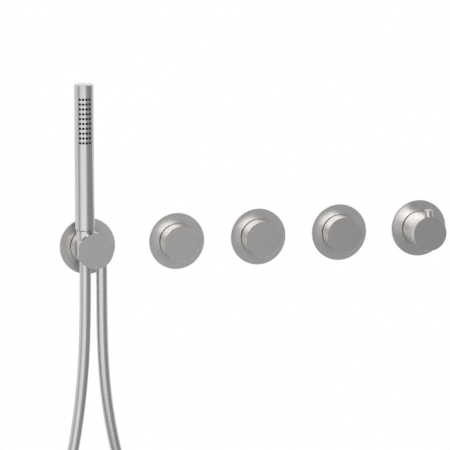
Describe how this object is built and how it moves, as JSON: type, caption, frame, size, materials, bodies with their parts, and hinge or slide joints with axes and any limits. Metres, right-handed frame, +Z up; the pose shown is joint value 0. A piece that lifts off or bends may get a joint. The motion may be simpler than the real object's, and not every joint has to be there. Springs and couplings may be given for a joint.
{
  "type": "concealed thermostatic shower mixer",
  "caption": "Wall row of satin steel shower controls on an in-wall brass mixer: stop valve knobs, temperature knob with stop button, holder with hand shower and hanging hose.",
  "frame": {"origin": "on the finished wall surface, on the axis of the temperature control", "axes": "+X right along the wall, +Y into the wall, +Z up; the controls face -Y"},
  "size_m": [0.5595, 0.1415, 0.7745],
  "materials": {
    "satin_steel": "fine brushed stainless steel",
    "hose_skin": "smooth satin metal-coloured hose",
    "brass": "sand-blasted forged brass",
    "copper_tube": "drawn copper",
    "sleeve_chrome": "plated",
    "ceramic": "polished ceramic",
    "rubber": "soft black",
    "zinc_steel": "galvanised",
    "white_plastic": "moulded",
    "screw_steel": "bright"
  },
  "bodies": {
    "base": {"cartridge_base": "white_plastic", "cartridge_housing": "white_plastic", "check_valves": "white_plastic", "elbow_bracket": "zinc_steel", "feed_tube": "copper_tube", "fixed_discs": "ceramic", "hand_shower_cap": "satin_steel", "hand_shower_connector": "brass", "hand_shower_tube": "satin_steel", "headwork_1": "brass", "headwork_2": "brass", "headwork_3": "brass", "holder_body": "satin_steel", "holder_grub_screw": "screw_steel", "holder_plate": "satin_steel", "hose": "hose_skin", "hose_cone_nut": "satin_steel", "hose_ferrule": "brass", "limit_ring": "white_plastic", "link_tubes": "copper_tube", "mixer_body": "brass", "mixer_plate": "satin_steel", "mixer_sleeve": "sleeve_chrome", "mounting_rail": "zinc_steel", "nozzle_insert": "rubber", "outlet_elbow": "brass", "outlet_nipple": "brass", "rail_screws": "screw_steel", "return_spring": "screw_steel", "seat_seals": "rubber", "valve_body_1": "brass", "valve_body_2": "brass", "valve_body_3": "brass", "valve_plate_1": "satin_steel", "valve_plate_2": "satin_steel", "valve_plate_3": "satin_steel", "valve_sleeve_1": "sleeve_chrome", "valve_sleeve_2": "sleeve_chrome", "valve_sleeve_3": "sleeve_chrome"},
    "valve_1": {"valve_knob_1": "satin_steel", "knob_grub_screw_1": "screw_steel", "valve_spindle_1": "brass", "moving_disc_1": "ceramic"},
    "valve_2": {"valve_knob_2": "satin_steel", "knob_grub_screw_2": "screw_steel", "valve_spindle_2": "brass", "moving_disc_2": "ceramic"},
    "valve_3": {"valve_knob_3": "satin_steel", "knob_grub_screw_3": "screw_steel", "valve_spindle_3": "brass", "moving_disc_3": "ceramic"},
    "temperature": {"temperature_knob": "satin_steel", "temperature_grub_screw": "screw_steel", "temperature_spindle": "brass", "button_spring": "screw_steel"},
    "button": {"stop_button": "satin_steel"},
    "mixing": {"drive_nut": "brass", "wax_element": "brass", "mixing_spool": "white_plastic"}
  },
  "joints": [
    {"name": "valve_1_turn", "type": "hinge", "parent": "base", "child": "valve_1", "pos_m": [-0.314, 0, 0], "axis": [0, -1, 0], "range_deg": [0, 90]},
    {"name": "valve_2_turn", "type": "hinge", "parent": "base", "child": "valve_2", "pos_m": [-0.209, 0, 0], "axis": [0, -1, 0], "range_deg": [0, 90]},
    {"name": "valve_3_turn", "type": "hinge", "parent": "base", "child": "valve_3", "pos_m": [-0.104, 0, 0], "axis": [0, -1, 0], "range_deg": [0, 90]},
    {"name": "temperature_turn", "type": "hinge", "parent": "base", "child": "temperature", "pos_m": [0, 0, 0], "axis": [0, -1, 0], "range_deg": [-160, 0]},
    {"name": "button_press", "type": "slide", "parent": "temperature", "child": "button", "axis": [0, 0, -1], "range_m": [0, 0.0025], "stiffness_N_per_m": 800, "deforming": ["button_spring"]},
    {"name": "mixing_travel", "type": "slide", "parent": "base", "child": "mixing", "axis": [0, 1, 0], "range_m": [-0.001, 0.0002], "deforming": ["return_spring"]}
  ],
  "couplings": [
    {"joint": "mixing_travel", "follows": "temperature_turn", "m_per_rad": 0.000239}
  ]
}
